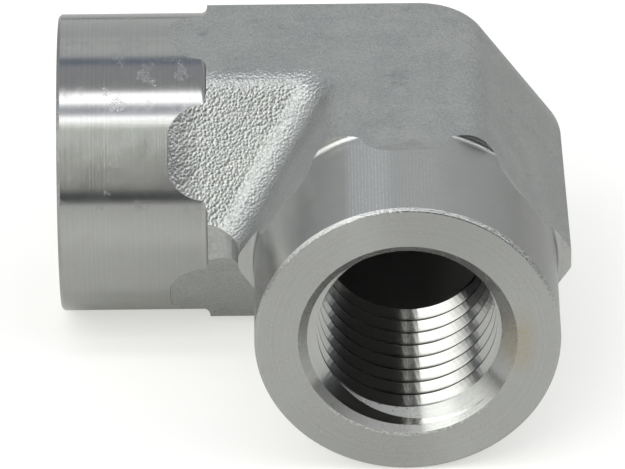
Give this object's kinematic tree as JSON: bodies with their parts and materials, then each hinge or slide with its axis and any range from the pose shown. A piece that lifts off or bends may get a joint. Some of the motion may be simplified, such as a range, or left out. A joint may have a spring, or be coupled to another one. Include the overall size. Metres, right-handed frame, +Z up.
{
  "type": "hydraulic elbow adapter",
  "caption": "Right-angle forged steel pipe elbow with a female tapered pipe thread port, turned round, on each leg.",
  "frame": {"origin": "centre of the footprint, on the surface that the elbow lies on", "axes": "+Z up, square to the plane of both bores; the front port points along -Y and the left port along -X"},
  "size_m": [0.033, 0.033, 0.0194],
  "materials": {
    "plated_steel": "bright zinc plate over a blasted forging, with turned collars and faced ends"
  },
  "bodies": {
    "root": {"elbow_body": "plated_steel"}
  },
  "joints": []
}
